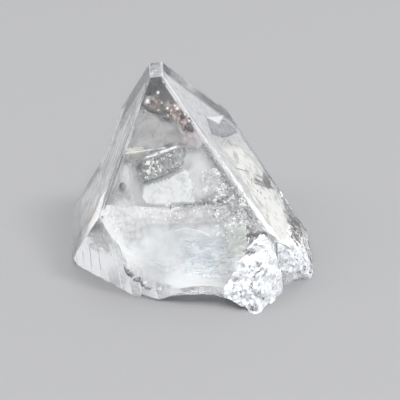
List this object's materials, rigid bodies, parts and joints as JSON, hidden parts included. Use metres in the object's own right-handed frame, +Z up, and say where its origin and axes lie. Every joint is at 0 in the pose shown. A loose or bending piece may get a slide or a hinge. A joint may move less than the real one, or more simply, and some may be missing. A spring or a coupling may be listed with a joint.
{
  "type": "apophyllite crystal specimen",
  "caption": "Loose clear crystal point with steep pyramid faces, a blunt tip, striated prism faces and a rough broken foot that it rests on.",
  "frame": {"origin": "on the floor, at the middle of the crystal's box seen from above", "axes": "+Z up from the broken foot towards the blunt tip; -Y out of the large clear front face; +X towards the long right-hand face"},
  "size_m": [0.0226, 0.0218, 0.0183],
  "materials": {
    "crystal": "clear, nearly colourless apophyllite with a glassy lustre on the growth faces and a sugary, frosted surface on the break"
  },
  "bodies": {
    "root": {"crystal": "crystal"}
  },
  "joints": []
}
